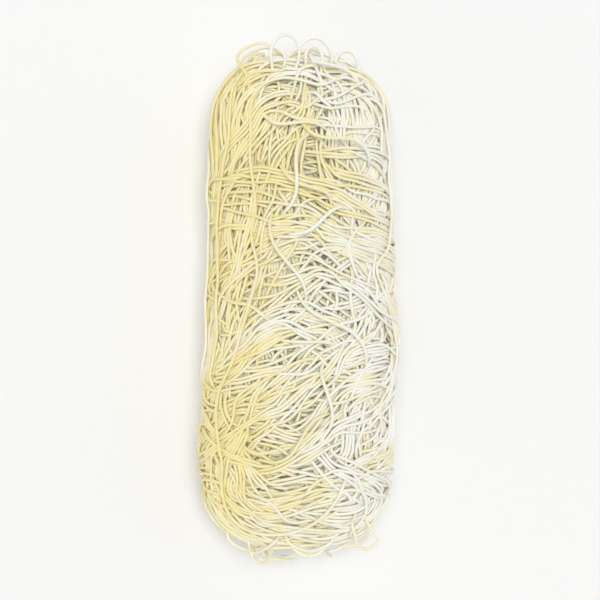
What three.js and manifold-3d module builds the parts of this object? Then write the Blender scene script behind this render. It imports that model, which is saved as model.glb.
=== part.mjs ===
// A block of dried rice vermicelli: fine noodles folded back and forth into an oblong pad with round ends.
// The noodles run round a racetrack: along one side, round an end, back along the other side.
// A core carries that lay as rounded locks, and loose noodles of true thickness are fused onto it.
// Millimetres, +Z up. The origin is on the resting face, under the middle of the block.
import * as THREE from "three";
import { mergeVertices } from "three/addons/utils/BufferGeometryUtils.js";
import Module from "manifold-3d";

// Overall size of the block, with the loops that stick out at its ends.
const LENGTH = 131;
const WIDTH = 49;
const HEIGHT = 38;
const NOODLE_DIAMETER = 0.8;

// The folded body: the ends of the loose loops reach past it, and the crown of the noodles past its top.
const END_LOOP_REACH = 4;
const BODY_LENGTH = LENGTH - 2 * END_LOOP_REACH;
const LOOSE_LIFT = 1.6;
const BODY_HEIGHT = HEIGHT - LOOSE_LIFT;
const LOCK_DEPTH = 1.1;
const BODY_HALF_WIDTH = WIDTH / 2 - LOCK_DEPTH / 2;
const SPINE_HALF = BODY_LENGTH / 2 - BODY_HALF_WIDTH;
const BELT_HEIGHT = 0.47 * BODY_HEIGHT;
const CROWN_RISE = BODY_HEIGHT - BELT_HEIGHT;
const SINK = 1.4; // how far the round underside would reach below the floor, which flattens it

// How square the outline and the cross-section are: 2 is an ellipse, more is squarer.
const END_SQUARENESS = 2.9;
const SECTION_SQUARENESS = 2.7;

// How uneven the outline is, as shares of the half-width, and the crown, as shares of its rise.
// A wave has its length in millimetres and its shift in radians.
const OUTLINE = { mean: 0.965, waist: 0.035, taper: 0.03, corners: 0.03 };
const WAIST_WAVE = { length: 107, shift: 0.8 };
const CORNER_SHIFT = 0.6;
const CROWN = { mean: 0.94, swell: 0.045, lean: 0.02 };
const SWELL_WAVE = { length: 88, shift: 2.1 };
const LEAN_WAVE_LENGTH = 57;

// The racetrack's length, and the shares of it that one side and one end take.
const PERIMETER = 4 * SPINE_HALF + 2 * Math.PI * BODY_HALF_WIDTH;
const SIDE_SHARE = (2 * SPINE_HALF) / PERIMETER;
const END_SHARE = 0.5 - SIDE_SHARE;

// The locks: how many there are from the crown to the underside, and the waves that make them wander.
// A wave has its size in radians, its turns round the block and its change from the crown to the underside.
const LOCKS = 9;
const LOCK_WAVES = [
  { size: 0.75, turns: 2, change: 5, shift: 0 },
  { size: 0.4, turns: 5, change: 0, shift: 1.7 },
  { size: 0.8, turns: 0, change: 11, shift: 0.9 },
];
const GROOVE_WAVE = { mean: 0.78, size: 0.22, turns: 3, change: 13 };
const CROWN_FADE = 6; // how fast the locks rise out of the smooth middle of the crown

// The grid of the core's surface.
const POINTS_PER_LOCK = 4;
const SIDE_STEPS = 12;
const END_STEPS = 11;
const SMALLEST_EDGE = 1e-3;

// The loose noodles.
const TUBE_SIDES = 4;
const STEPS_PER_NOODLE = 26;
const BURY_DEPTH = 1.5;
const CLEARANCE = 0.3; // how far a lying noodle stands clear of the locks between its ends
const SEED = 7;

// The noodles that lie along the locks: their places are shares from the crown, 0, to the underside, 1.
const LYING_NOODLES = 24;
const LYING_LENGTH = 62;
const LYING_BENDS = 8;
const LYING_FIRST = 0.06;
const LYING_LAST = 0.6;
const LYING_LIMITS = [0.05, 0.72];
const LYING_DRIFT = 0.2;
const LYING_SWAY = 0.012;
const PLACE_STRIDE = 7; // has no common divisor with the number of noodles, so each gets its own place
const GOLDEN_SHARE = 0.381966; // of a turn, which spreads the noodles round the block

// The arches that stand clear of the crown.
const ARCH_BENDS = 6;
const ARCH_DEPTH = 5.2;
const ARCH_SWAY = 0.1;
const CROWN_ARCHES = [
  { x: -4, y: 30, turn: 1.1, span: 26 },
  { x: 5, y: -6, turn: 2.2, span: 30 },
  { x: -3, y: -34, turn: 0.5, span: 24 },
  { x: -6, y: 8, turn: 1.75, span: 28 },
  { x: 6, y: 38, turn: 2.6, span: 22 },
  { x: 4, y: -24, turn: 1.3, span: 27 },
  { x: 2, y: 18, turn: 0.25, span: 21 },
];

// The loops at both ends: a teardrop at the -Y end, and low arches round both ends.
// side is the share of the half-width where a loop sits, and height its share of the body's height.
const END_LOOPS = [
  { end: -1, side: -0.42, height: 0.55, reach: 4, spread: 6, rise: 1.5 },
  { end: -1, side: 0.3, height: 0.4, reach: 1.6, spread: 16, rise: 2 },
  { end: -1, side: 0.05, height: 0.72, reach: 0.6, spread: 12, rise: 1 },
  { end: 1, side: 0.12, height: 0.6, reach: 4, spread: 9, rise: 2 },
  { end: 1, side: -0.35, height: 0.45, reach: 2.2, spread: 14, rise: 1.5 },
  { end: 1, side: 0.45, height: 0.3, reach: 1.2, spread: 11, rise: 1 },
];

const NOODLE_COLOUR = 0xe3dcc0;

// A seeded random number from 0 to 1 (mulberry32).
function randomNumbers(seed) {
  let state = seed;
  return () => {
    state = (state + 0x6d2b79f5) | 0;
    let t = Math.imul(state ^ (state >>> 15), 1 | state);
    t = (t + Math.imul(t ^ (t >>> 7), 61 | t)) ^ t;
    return ((t ^ (t >>> 14)) >>> 0) / 4294967296;
  };
}

// A power that keeps the sign.
const bent = (value, power) => Math.sign(value) * Math.abs(value) ** power;
const wave = ({ length, shift }, along) => Math.sin((2 * Math.PI * along) / length + shift);

// Where a travel of 0 to 1 round the racetrack is: its point on the spine and its outward direction.
// It starts at the middle of the +X side and goes towards +Y.
function trackPlace(travel) {
  const shifted = (((travel + SIDE_SHARE / 2) % 1) + 1) % 1;
  const half = shifted < 0.5 ? 0 : 1;
  const local = shifted - 0.5 * half;
  const turn = half * Math.PI;
  if (local < SIDE_SHARE) {
    const along = (local / SIDE_SHARE) * 2 * SPINE_HALF - SPINE_HALF;
    return { spine: half ? -along : along, angle: turn };
  }
  const angle = turn + (Math.PI * (local - SIDE_SHARE)) / END_SHARE;
  return { spine: half ? -SPINE_HALF : SPINE_HALF, angle };
}

// The outline's uneven half-width in one direction from the spine.
function planRadius(spine, angle) {
  const across = Math.cos(angle);
  const along = Math.abs(Math.sin(angle));
  const square = (Math.abs(across) ** END_SQUARENESS + along ** END_SQUARENESS) ** (-1 / END_SQUARENESS);
  const waist = OUTLINE.waist * wave(WAIST_WAVE, spine) * across;
  const taper = OUTLINE.taper * (spine / SPINE_HALF);
  const corners = OUTLINE.corners * Math.sin(3 * angle + CORNER_SHIFT) * along;
  return BODY_HALF_WIDTH * square * (OUTLINE.mean + waist - taper + corners);
}

// The lift of the crown over the belt, which swells and sinks along and across the block.
function crownRise(spine, angle, out) {
  const lean = CROWN.lean * out * Math.cos(2 * angle + (2 * Math.PI * spine) / LEAN_WAVE_LENGTH);
  return CROWN_RISE * (CROWN.mean + CROWN.swell * wave(SWELL_WAVE, spine) + lean);
}

// The height of one lock's rounded back, from 0 in a groove to 1 on its crest.
function lockBack(travel, round) {
  const way = 2 * Math.PI * travel;
  const wander = LOCK_WAVES.reduce(
    (sum, { size, turns, change, shift }) => sum + size * Math.sin(turns * way + change * round + shift), 0);
  const groove = GROOVE_WAVE.mean + GROOVE_WAVE.size * Math.sin(GROOVE_WAVE.turns * way + GROOVE_WAVE.change * round);
  return 1 - groove * (1 - Math.abs(Math.sin(Math.PI * LOCKS * round + wander)));
}

// A point of the surface. round is 0 on the crown's middle line, 0.5 on the belt and 1 under the middle.
// lift moves it outwards.
function surfacePoint(travel, round, lift = 0, locks = LOCK_DEPTH) {
  const { spine, angle } = trackPlace(travel);
  const turn = Math.PI * round;
  const out = bent(Math.sin(turn), 2 / SECTION_SQUARENESS);
  const up = bent(Math.cos(turn), 2 / SECTION_SQUARENESS);
  const relief = lift - locks * (1 - lockBack(travel, round)) * Math.min(1, CROWN_FADE * out);
  const rise = up > 0 ? crownRise(spine, angle, out) : BELT_HEIGHT + SINK;
  const radius = Math.max(0, out * planRadius(spine, angle) + relief * Math.sin(turn));
  const height = BELT_HEIGHT + up * rise + relief * Math.cos(turn);
  return new THREE.Vector3(radius * Math.cos(angle), spine + radius * Math.sin(angle), height);
}

// The core: rings of points from the crown's middle line over the belt to the underside, round the racetrack.
function coreGeometry() {
  const stations = [0, 0.5].flatMap((start) => [
    ...Array.from({ length: SIDE_STEPS }, (_, i) => start + SIDE_SHARE * (i / SIDE_STEPS - 0.5)),
    ...Array.from({ length: END_STEPS }, (_, i) => start + SIDE_SHARE / 2 + END_SHARE * (i / END_STEPS)),
  ]);
  const rounds = LOCKS * POINTS_PER_LOCK;
  const flat = (point) => new THREE.Vector3(point.x, point.y, Math.max(point.z, 0));
  const rows = stations.map((travel) =>
    Array.from({ length: rounds + 1 }, (_, j) => flat(surfacePoint(travel, j / rounds))));
  const positions = [];
  const triangle = (...corners) => {
    const shortest = Math.min(...corners.map((corner, k) => corner.distanceTo(corners[(k + 1) % 3])));
    if (shortest > SMALLEST_EDGE) positions.push(...corners.flatMap((corner) => corner.toArray()));
  };
  rows.forEach((row, i) => {
    const next = rows[(i + 1) % rows.length];
    for (let j = 0; j < rounds; j++) {
      triangle(row[j], row[j + 1], next[j + 1]);
      triangle(row[j], next[j + 1], next[j]);
    }
  });
  return new THREE.BufferGeometry().setAttribute("position", new THREE.Float32BufferAttribute(positions, 3));
}

// A noodle of true thickness along a smooth curve through the points.
function noodleGeometry(points) {
  const radius = NOODLE_DIAMETER / 2;
  const section = new THREE.Shape(
    Array.from({ length: TUBE_SIDES }, (_, i) => {
      const turn = (2 * Math.PI * (i + 0.5)) / TUBE_SIDES;
      return new THREE.Vector2(radius * Math.cos(turn), radius * Math.sin(turn));
    }),
  );
  const path = new THREE.CatmullRomCurve3(points);
  return new THREE.ExtrudeGeometry(section, { steps: STEPS_PER_NOODLE, extrudePath: path });
}

// A noodle that lies on the block: it follows the racetrack, drifts across the locks, and dips in at both ends.
function lyingNoodle(index, random) {
  const start = index * GOLDEN_SHARE + 0.05 * random();
  const slot = ((index * PLACE_STRIDE) % LYING_NOODLES) / LYING_NOODLES;
  const round = LYING_FIRST + (LYING_LAST - LYING_FIRST) * slot;
  const drift = LYING_DRIFT * (random() - 0.5);
  const share = (LYING_LENGTH * (0.8 + 0.4 * random())) / PERIMETER;
  return noodleGeometry(Array.from({ length: LYING_BENDS + 1 }, (_, k) => {
    const t = k / LYING_BENDS;
    const arch = Math.sin(Math.PI * t) ** 0.35;
    const lift = -BURY_DEPTH + (BURY_DEPTH + NOODLE_DIAMETER / 2 + CLEARANCE) * arch;
    const place = round + drift * (t - 0.5) + LYING_SWAY * Math.sin(7 * t + index);
    return surfacePoint(start + share * t, THREE.MathUtils.clamp(place, ...LYING_LIMITS), lift, 0);
  }));
}

// A loop of noodle that leaves an end of the block and comes back into it.
function endLoop({ end, side, height, reach, spread, rise }) {
  const root = SPINE_HALF + 0.72 * BODY_HALF_WIDTH;
  const tip = LENGTH / 2 - NOODLE_DIAMETER / 2 - (END_LOOP_REACH - reach);
  const middle = 0.45 * root + 0.55 * tip;
  const at = (across, along, up) =>
    new THREE.Vector3(side * BODY_HALF_WIDTH + across * spread, end * along, height * BODY_HEIGHT + up * rise);
  return noodleGeometry([
    at(-0.35, root - 4, -0.3),
    at(-0.45, root + 1, 0),
    at(-0.5, middle, 0.6),
    at(-0.28, tip - 0.12 * spread, 1),
    at(0.02, tip, 1),
    at(0.3, tip - 0.14 * spread, 0.8),
    at(0.5, middle, 0.4),
    at(0.4, root + 1, -0.2),
    at(0.25, root - 4, -0.5),
  ]);
}

// A low arch that stands clear of the crown, its ends sunk into it.
function crownArch({ x, y, turn, span }) {
  const direction = new THREE.Vector2(Math.cos(turn), Math.sin(turn));
  return noodleGeometry(Array.from({ length: ARCH_BENDS + 1 }, (_, k) => {
    const t = k / ARCH_BENDS - 0.5;
    const arch = (1 - (2 * t) ** 2) ** 0.6;
    const sway = ARCH_SWAY * span * Math.sin(2 * Math.PI * t);
    return new THREE.Vector3(
      x + span * t * direction.x - sway * direction.y,
      y + span * t * direction.y + sway * direction.x,
      HEIGHT - NOODLE_DIAMETER / 2 - ARCH_DEPTH * (1 - arch),
    );
  }));
}

// Fuses the core and the noodles into one closed body. Scraps and sealed hollows are left behind.
async function fused(core, noodles) {
  const wasm = await Module();
  wasm.setup();
  const solid = (geometry) => {
    const loose = geometry.index ? geometry.toNonIndexed() : geometry;
    const bare = new THREE.BufferGeometry().setAttribute("position", loose.getAttribute("position"));
    const merged = mergeVertices(bare, 1e-4);
    return new wasm.Manifold(new wasm.Mesh({
      numProp: 3,
      vertProperties: new Float32Array(merged.attributes.position.array),
      triVerts: new Uint32Array(merged.index.array),
    }));
  };
  const joined = noodles.reduce((body, noodle) => body.add(solid(noodle)), solid(core));
  const bodies = joined.decompose().sort((a, b) => b.volume() - a.volume());
  const mesh = bodies[0].getMesh();
  return new THREE.BufferGeometry()
    .setAttribute("position", new THREE.BufferAttribute(mesh.vertProperties, 3))
    .setIndex(new THREE.BufferAttribute(mesh.triVerts, 1));
}

const random = randomNumbers(SEED);
const lyingNoodles = Array.from({ length: LYING_NOODLES }, (_, index) => lyingNoodle(index, random));
const noodles = [...lyingNoodles, ...END_LOOPS.map(endLoop), ...CROWN_ARCHES.map(crownArch)];
const noodleBlock = new THREE.Mesh(
  await fused(coreGeometry(), noodles),
  new THREE.MeshStandardMaterial({ color: NOODLE_COLOUR, roughness: 0.5, metalness: 0 }),
);
noodleBlock.name = "noodle_block";

const vermicelliBlock = new THREE.Group();
vermicelliBlock.add(noodleBlock);

export default vermicelliBlock;
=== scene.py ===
"""Dresses a block of dried rice vermicelli with its real noodles.

The block is one tangle of fine noodles round a closed core. Rings of noodles run round an oblong pad,
folds sweep across it from side to side, hanks sweep down from its ragged end, and single noodles wander
over them all. Each noodle is laid as a line of points over the pad's form. The noodles then settle: they
push each other aside, and those that overlap others most are taken out. Geometry Nodes give the lines
their round section. The lay is worked out in millimetres, and every mesh is in metres.
"""

import logging
import math
from dataclasses import dataclass, field
from enum import Enum
from typing import Sequence

import bmesh
import bpy
import numpy as np
from mathutils import Matrix, Vector


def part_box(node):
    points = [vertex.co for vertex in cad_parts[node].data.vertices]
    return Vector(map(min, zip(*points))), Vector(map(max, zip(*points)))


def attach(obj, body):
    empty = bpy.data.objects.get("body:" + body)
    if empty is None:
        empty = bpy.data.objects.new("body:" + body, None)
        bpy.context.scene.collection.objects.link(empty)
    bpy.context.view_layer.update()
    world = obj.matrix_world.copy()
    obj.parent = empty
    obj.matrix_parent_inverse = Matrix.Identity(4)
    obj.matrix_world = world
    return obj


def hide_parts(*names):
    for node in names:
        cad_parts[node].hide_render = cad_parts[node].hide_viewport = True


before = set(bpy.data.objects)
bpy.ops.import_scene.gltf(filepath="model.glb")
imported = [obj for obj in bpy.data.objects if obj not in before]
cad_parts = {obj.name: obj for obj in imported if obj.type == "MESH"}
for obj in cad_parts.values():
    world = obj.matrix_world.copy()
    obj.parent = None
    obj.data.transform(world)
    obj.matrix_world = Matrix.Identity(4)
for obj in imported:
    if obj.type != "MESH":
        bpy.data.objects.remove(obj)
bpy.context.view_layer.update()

Array = np.ndarray
# The least and the most of a size that is drawn.
Range = tuple[float, float]
# The mean and the spread of a size that is drawn.
Spread = tuple[float, float]
# The size of a wander, and its shortest and its longest wavelength.
Waves = tuple[float, float, float]
Colour = tuple[float, float, float]

LOG = logging.getLogger("vermicelli")
NODE = "noodle_block"
BODY = "root"
MM = 0.001
FULL_TURN = 2 * math.pi
NOODLE_DIAMETER = 0.8
TINY = 1e-6
CURVE_STEPS = 14
DRIFT_WAVES = 4
DRIFT_SIZES = (0.6, 1.2)
WARP_SPREAD = 0.8
# A cell of a grid and half of the cells round it, so that each pair of cells comes up once.
NEAR_CELLS = tuple(
    (x, y, z) for x in (0, 1) for y in (-1, 0, 1) for z in (-1, 0, 1) if (x, y, z) >= (0, 0, 0)
)


class Role(Enum):
    """What a noodle does in the block. Each role is one piece, with its name and its mesh settings."""

    HEART_RING = ("heart_rings", 3, 5)
    INNER_FOLD = ("inner_folds", 3, 5)
    UPPER_RING = ("upper_rings", 2, 6)
    LOWER_RING = ("lower_rings", 2, 6)
    UNDER_FOLD = ("underside_folds", 2, 6)
    SWEEP = ("crown_sweeps", 2, 6)
    OUTER_FOLD = ("outer_folds", 2, 6)
    CROSSING = ("cross_hanks", 2, 6)
    ROAMER = ("roaming_noodles", 2, 6)
    STRAY = ("stray_noodles", 2, 6)
    LOOP = ("end_loops", 1, 8)
    ARCH = ("crown_arches", 1, 8)
    WISP = ("loose_wisps", 1, 8)

    def __init__(self, piece: str, every: int, sides: int) -> None:
        """Keeps the piece's name and its mesh settings.

        Args:
            piece: The piece's name.
            every: How many points of a noodle's line go to one ring of its tube.
            sides: How many sides the tube has.
        """
        self.piece = piece
        self.every = every
        self.sides = sides


LOOSE = (Role.ROAMER, Role.STRAY, Role.LOOP, Role.ARCH, Role.WISP)


class Face(Enum):
    """The side of the pad that the unrolled plane's middle line lies on."""

    CROWN = 0
    UNDERSIDE = 1


class Way(Enum):
    """The way that the hanks of a course run."""

    RING = "round the pad"
    FOLD = "to and fro across the pad"
    SWEEP = "down the crown from the ragged end, then out over a side"
    CROSS = "up one side, over the crown at a slant and down the other side"
    ROAM = "over everything, with easy bends"


def bent(value: Array, power: float) -> Array:
    """Raises the size of a value to a power and keeps its sign."""
    return np.sign(value) * np.abs(value) ** power


def distances(line: Array) -> Array:
    """Gives how far along a line each of its points is."""
    return np.concatenate([[0], np.cumsum(np.linalg.norm(np.diff(line, axis=0), axis=1))])


def resampled(line: Array, spacing: float) -> Array:
    """Spaces the points of a line evenly.

    Args:
        line: The points of the line.
        spacing: About how far apart they are to be.

    Returns:
        The new points, three at the least.
    """
    along = distances(line)
    wanted = np.linspace(0, along[-1], max(3, round(along[-1] / spacing) + 1))
    return np.stack([np.interp(wanted, along, line[:, k]) for k in range(3)], -1)


def faired(line: Array, passes: int) -> Array:
    """Takes the kinks out of an evenly spaced line.

    Args:
        line: The points of the line.
        passes: How many times each point moves towards its neighbours.

    Returns:
        The new points, with both ends where they were.
    """
    for _ in range(passes):
        line = np.concatenate([line[:1], (line[:-2] + 2 * line[1:-1] + line[2:]) / 4, line[-1:]])
    return line


def smooth_curve(corners: Array) -> Array:
    """Lays a smooth curve through a few points.

    Args:
        corners: The points that the curve passes through.

    Returns:
        The points of the curve.
    """
    padded = np.concatenate([[2 * corners[0] - corners[1]], corners, [2 * corners[-1] - corners[-2]]])
    before, start, end, after = (padded[k:len(padded) - 3 + k, None] for k in range(4))
    t = np.linspace(0, 1, CURVE_STEPS, endpoint=False)[None, :, None]
    slope, curve = end - before, 2 * before - 5 * start + 4 * end - after
    twist = 3 * start - before - 3 * end + after
    points = start + 0.5 * (slope * t + curve * t**2 + twist * t**3)
    return np.concatenate([points.reshape(-1, corners.shape[1]), corners[-1:]])


@dataclass(frozen=True)
class Drift:
    """A smooth random wander along a line: a sum of sine waves."""

    sizes: Array
    rates: Array
    shifts: Array

    @classmethod
    def draw(cls, rng: np.random.Generator, size: float, shortest: float, longest: float) -> "Drift":
        """Draws the waves.

        Args:
            rng: The seeded source of chance.
            size: About how far the wander strays to either side.
            shortest: The shortest wavelength.
            longest: The longest wavelength.

        Returns:
            The wander.
        """
        lengths = np.exp(rng.uniform(math.log(shortest), math.log(longest), DRIFT_WAVES))
        sizes = size * math.sqrt(2 / DRIFT_WAVES) * rng.uniform(*DRIFT_SIZES, DRIFT_WAVES)
        return cls(sizes, FULL_TURN / lengths, rng.uniform(0, FULL_TURN, DRIFT_WAVES))

    def __call__(self, along: Array) -> Array:
        """Gives the wander's offset at each distance along the line."""
        return (self.sizes * np.sin(np.multiply.outer(along, self.rates) + self.shifts)).sum(-1)


@dataclass(frozen=True)
class Warp:
    """A smooth random push of a plane's or a space's points, the same for all noodles that pass."""

    rates: Array
    shifts: Array
    pushes: Array

    @classmethod
    def draw(cls, rng: np.random.Generator, size: float, shortest: float, longest: float,
             waves: int = 7, room: int = 2) -> "Warp":
        """Draws the waves.

        Args:
            rng: The seeded source of chance.
            size: About how far a point is pushed.
            shortest: The shortest wavelength.
            longest: The longest wavelength.
            waves: How many waves are added up.
            room: 2 for a plane, 3 for a space.

        Returns:
            The warp.
        """
        headings = rng.normal(0, 1, (room, waves))
        headings /= np.linalg.norm(headings, axis=0)
        rates = headings * FULL_TURN / rng.uniform(shortest, longest, waves)
        pushes = size * math.sqrt(2 / waves) * rng.normal(0, WARP_SPREAD, (waves, room))
        return cls(rates, rng.uniform(0, FULL_TURN, waves), pushes)

    def __call__(self, points: Array) -> Array:
        """Gives the push at each point."""
        return np.sin(points @ self.rates + self.shifts) @ self.pushes


@dataclass
class Pad:
    """The form of the block's folded body, worked out from the frame's box, in millimetres.

    A point of its skin has a spine place, which is where along the middle line it belongs, an angle
    round it, and a turn, which is 0 on the crown, a quarter turn on the belt and a half turn on the
    underside. How far out a point lies is its share: 0 on the middle line and 1 on the skin. Each of
    the two waves has its length and its shift.
    """

    loop_reach: float = 4.0
    loose_lift: float = 1.6
    half_width_share: float = 0.4825
    belt_share: float = 0.47
    sink: float = 1.4
    end_squareness: float = 2.9
    section_squareness: float = 2.7
    outline_mean: float = 0.965
    waist: float = 0.035
    waist_wave: tuple[float, float] = (107.0, 0.8)
    taper: float = 0.03
    corners: float = 0.03
    corner_lobes: int = 3
    corner_shift: float = 0.6
    crown_mean: float = 0.94
    swell: float = 0.045
    swell_wave: tuple[float, float] = (88.0, 2.1)
    lean: float = 0.02
    lean_wave: float = 57.0
    lowest: float = 0.6 * NOODLE_DIAMETER
    turn_steps: int = 400
    halvings: int = 24

    def __post_init__(self) -> None:
        """Measures the box and works out the body's sizes from it."""
        low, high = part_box(NODE)
        self.width, self.length, self.height = ((high[k] - low[k]) / MM for k in range(3))
        self.half_width = self.half_width_share * self.width
        self.spine_half = self.length / 2 - self.loop_reach - self.half_width
        self.body_height = self.height - self.loose_lift
        self.belt = self.belt_share * self.body_height
        self.perimeter = 4 * self.spine_half + FULL_TURN * self.half_width
        self.side_share = 2 * self.spine_half / self.perimeter
        self._turns = np.linspace(0, math.pi, self.turn_steps)
        across, up, _ = self.section(self._turns, self.body_height - self.belt)
        reach = across * self.outline_mean * self.half_width
        self._arcs = distances(np.stack([reach, np.maximum(up, -self.belt)], -1))
        self.half_girth = float(self._arcs[-1])

    def section(self, turns: Array, rise: Array | float) -> tuple[Array, Array, Array]:
        """Gives the form of the pad's cross-section.

        Args:
            turns: The turns of points of the skin.
            rise: How far the crown rises over the belt there.

        Returns:
            The share of the half-width, the height over the belt, and the rise or the drop used.
        """
        out = bent(np.sin(turns), 2 / self.section_squareness)
        up = bent(np.cos(turns), 2 / self.section_squareness)
        used = np.where(up > 0, rise, self.belt + self.sink)
        return out, up * used, used

    def plan_radius(self, spine: Array, angle: Array) -> Array:
        """Gives the outline's uneven half-width.

        Args:
            spine: The spine places.
            angle: The directions from them.

        Returns:
            How far the outline is in each direction.
        """
        across, along = np.cos(angle), np.abs(np.sin(angle))
        power = self.end_squareness
        square = (np.abs(across) ** power + along**power) ** (-1 / power)
        length, shift = self.waist_wave
        waist = self.waist * np.sin(FULL_TURN * spine / length + shift) * across
        corners = self.corners * np.sin(self.corner_lobes * angle + self.corner_shift) * along
        share = self.outline_mean + waist - self.taper * spine / self.spine_half + corners
        return self.half_width * square * share

    def crown_rise(self, spine: Array, angle: Array, out: Array) -> Array:
        """Gives the lift of the crown over the belt.

        Args:
            spine: The spine places.
            angle: The directions from them.
            out: How far towards the outline, as a share of the way there.

        Returns:
            The lifts.
        """
        lean = self.lean * out * np.cos(2 * angle + FULL_TURN * spine / self.lean_wave)
        length, shift = self.swell_wave
        swell = self.swell * np.sin(FULL_TURN * spine / length + shift)
        return (self.body_height - self.belt) * (self.crown_mean + swell + lean)

    def track(self, travel: Array) -> tuple[Array, Array]:
        """Follows the way round the pad.

        Args:
            travel: Shares of the way round. Whole laps make no difference.

        Returns:
            The spine place and the outward angle at each.
        """
        shifted = (travel + self.side_share / 2) % 1
        half = (shifted >= 0.5).astype(float)
        local = shifted - 0.5 * half
        on_side = local < self.side_share
        along = np.clip(local / self.side_share, 0, 1) * 2 * self.spine_half - self.spine_half
        spine = (1 - 2 * half) * np.where(on_side, along, self.spine_half)
        past_side = (local - self.side_share) / (0.5 - self.side_share)
        return spine, math.pi * (half + np.where(on_side, 0, past_side))

    def place(self, plane: Array, depth: Array, face: Face = Face.CROWN) -> Array:
        """Lays points of the unrolled plane on the pad.

        Args:
            plane: Points of the plane that the skin unrolls to, with the spine along its second axis.
            depth: How far under the skin each point lies.
            face: The face that the plane's middle line lies on.

        Returns:
            The points in space.
        """
        spine = np.clip(plane[:, 1], -self.spine_half, self.spine_half)
        away = plane[:, 1] - spine
        angle = np.arctan2(away, plane[:, 0])
        arc = np.hypot(plane[:, 0], away)
        arc = np.clip(arc if face is Face.CROWN else self.half_girth - arc, 0, self.half_girth)
        turn = np.interp(arc, self._arcs, self._turns)
        out = bent(np.sin(turn), 2 / self.section_squareness)
        out, up, used = self.section(turn, self.crown_rise(spine, angle, out))
        radius = self.plan_radius(spine, angle)
        power = 2 * (self.section_squareness - 1) / self.section_squareness
        lean_out = np.abs(np.sin(turn)) ** power / radius
        lean_up = bent(np.cos(turn), power) / used
        steep = np.maximum(np.hypot(lean_out, lean_up), TINY)
        reach = np.maximum(out * radius - depth * lean_out / steep, 0)
        height = self.belt + up - depth * lean_up / steep
        height = np.maximum(height, np.maximum(depth, 0) + NOODLE_DIAMETER / 2)
        return np.stack([reach * np.cos(angle), spine + reach * np.sin(angle), height], -1)

    def middle(self, points: Array) -> Array:
        """Gives the nearest point of the middle line to each point."""
        spine = np.clip(points[:, 1], -self.spine_half, self.spine_half)
        return np.stack([np.zeros_like(spine), spine, np.full_like(spine, self.belt)], -1)

    def share(self, points: Array) -> Array:
        """Gives how far out points lie.

        Args:
            points: The points in space.

        Returns:
            Their shares: 0 on the middle line and 1 on the skin.
        """
        middle = self.middle(points)
        across, away, up = (points - middle).T
        angle = np.arctan2(away, across)
        out = np.hypot(across, away) / self.plan_radius(middle[:, 1], angle)
        rise = self.crown_rise(middle[:, 1], angle, np.minimum(out, 1))
        rise = np.where(up > 0, rise, self.belt + self.sink)
        power = self.section_squareness
        return (out**power + np.abs(up / rise) ** power) ** (1 / power)

    def hold(self, points: Array, fullest: Array, emptiest: float) -> Array:
        """Moves points that stray back between the pad's skin and its core.

        Args:
            points: The points in space.
            fullest: The largest share that each point may have.
            emptiest: The least share.

        Returns:
            The points, moved where needed.
        """
        share = self.share(points)
        scale = np.clip(share, emptiest, fullest) / np.maximum(share, TINY)
        middle = self.middle(points)
        held = middle + (points - middle) * scale[:, None]
        held[:, 2] = np.maximum(held[:, 2], self.lowest)
        return held

    def end_face(self, across: float, height: float, end: int) -> float:
        """Finds the skin of an end.

        Args:
            across: Where on X.
            height: Where on Z.
            end: -1 or 1, for the end at -Y or at +Y.

        Returns:
            How far along Y the skin is there.
        """
        near, far = self.spine_half, self.length / 2
        for _ in range(self.halvings):
            tried = (near + far) / 2
            inside = self.share(np.array([[across, end * tried, height]]))[0] < 1
            near, far = (tried, far) if inside else (near, tried)
        return near


@dataclass
class Strand:
    """One noodle: its line in millimetres, what it does, how it looks and how far out it may lie."""

    path: Array
    role: Role
    tone: float
    girth: float
    limit: float


@dataclass(frozen=True)
class Course:
    """One course of hanks of noodles, laid over those before it.

    reach is the arc from the crown's middle line for rings and crossings, as a share of the half
    girth, and the half-width of the ovals for folds. length is the half-length of the ovals for folds,
    and the length of the noodles for the rest. span is the stretch of the pad that folds and crossings
    cover, from -1 at its -Y end to 1 at its +Y end.
    """

    role: Role
    way: Way
    hanks: int
    noodles: int
    width: float
    depth: Range
    reach: Range = (0.0, 0.0)
    length: Range = (0.0, 0.0)
    limit: Range = (0.955, 1.0)
    span: Range = (-1.0, 1.0)
    face: Face = Face.CROWN


@dataclass(frozen=True)
class EndLoop:
    """A loop of noodle that leaves an end of the block and comes back into it.

    side is the share of the half-width where it sits, height its share of the body's height, reach how
    far it stands off the end, spread how wide it is, and rise how far its tip is over its roots.
    """

    end: int
    side: float
    height: float
    reach: float
    spread: float
    rise: float


@dataclass(frozen=True)
class CrownArch:
    """A low arch of noodle over the crown. top is how far its highest point lies under the block's top."""

    x: float
    y: float
    turn: float
    span: float
    top: float = 0.0


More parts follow.
